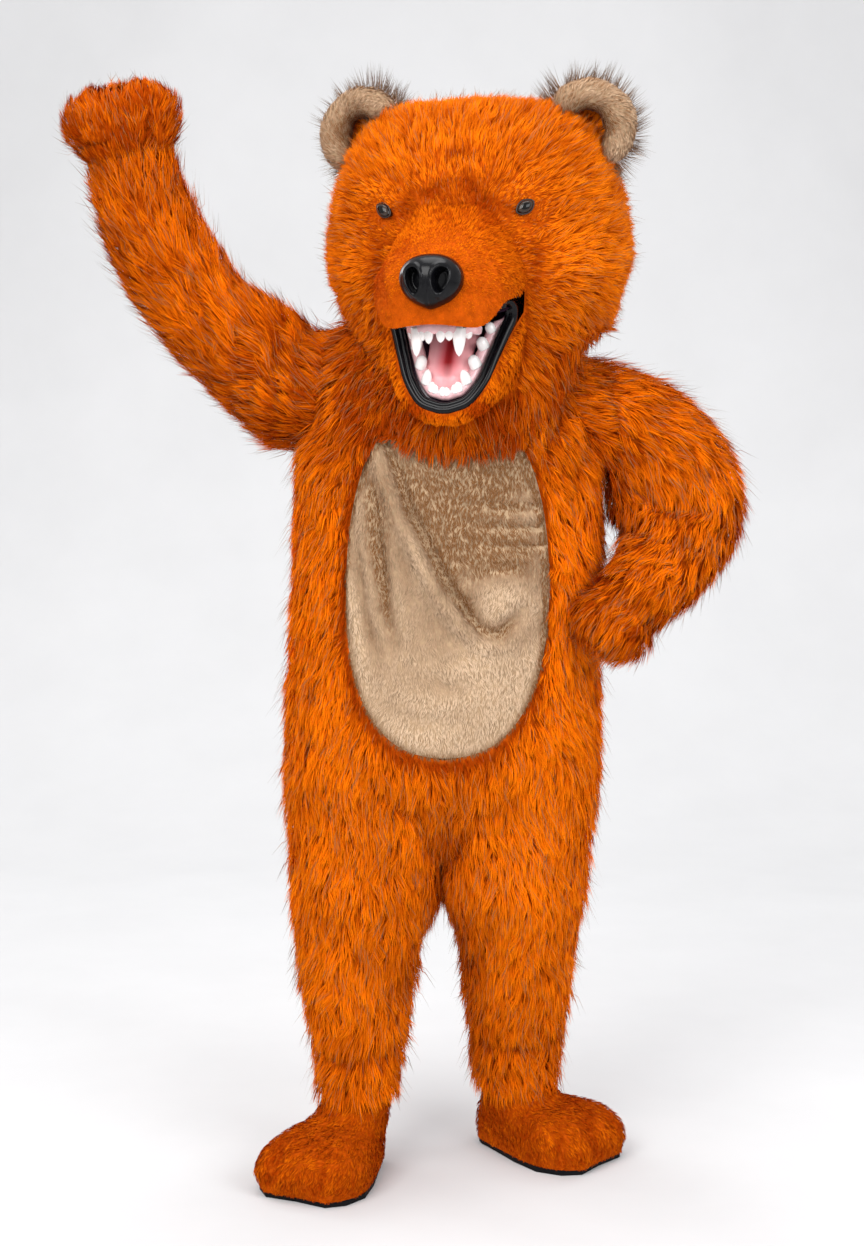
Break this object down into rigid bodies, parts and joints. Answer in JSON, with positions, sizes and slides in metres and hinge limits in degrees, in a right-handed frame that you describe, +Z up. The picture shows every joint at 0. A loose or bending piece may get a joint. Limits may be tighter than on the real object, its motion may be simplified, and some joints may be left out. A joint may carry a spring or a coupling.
{
  "type": "bear mascot costume",
  "caption": "Worn full-body bear costume in orange fur cloth: hollow suit with belly patch, sleeves, mitts, foot covers and an open-mouthed bear head, one arm raised, one hand on the hip",
  "frame": {"origin": "between the wearer's shoulders, on the suit's centre line, 1.43 m above the soles", "axes": "+X to the right as seen from in front, +Y to the back, +Z up; the costume faces -Y, and left and right are as seen from in front"},
  "size_m": [1.162, 0.6065, 1.91],
  "materials": {
    "long_fur": "long-pile faux fur cloth, bright orange with darker roots",
    "short_fur": "short-pile orange faux fur cloth",
    "tan_plush": "short tan plush with a soft nap",
    "sole": "black foam rubber",
    "black_gloss": "glossy black moulding",
    "gum": "glossy pink gums with white teeth",
    "tongue": "satin pink moulding",
    "lining": "dark smooth lining",
    "eye": "glassy brown lens, opaque"
  },
  "bodies": {
    "root": {"front_left": "long_fur", "back_left": "long_fur", "sleeve_left": "long_fur", "paw_left_back": "long_fur", "paw_left_palm": "long_fur", "foot_left_upper": "short_fur", "foot_left_sole": "sole", "head_left": "long_fur", "ear_left_back": "long_fur", "ear_left_rim": "tan_plush", "eye_left": "eye", "front_right": "long_fur", "back_right": "long_fur", "sleeve_right": "long_fur", "paw_right_back": "long_fur", "paw_right_palm": "long_fur", "foot_right_upper": "short_fur", "foot_right_sole": "sole", "head_right": "long_fur", "ear_right_back": "long_fur", "ear_right_rim": "tan_plush", "eye_right": "eye", "belly_patch": "tan_plush", "head_gusset": "long_fur", "muzzle": "short_fur", "chin": "short_fur", "mane_front": "long_fur", "mane_back": "long_fur", "mouth_lining": "lining", "nose": "black_gloss", "lips": "black_gloss", "gums_teeth_lower": "gum", "gums_teeth_upper": "gum", "tongue": "tongue"}
  },
  "joints": []
}
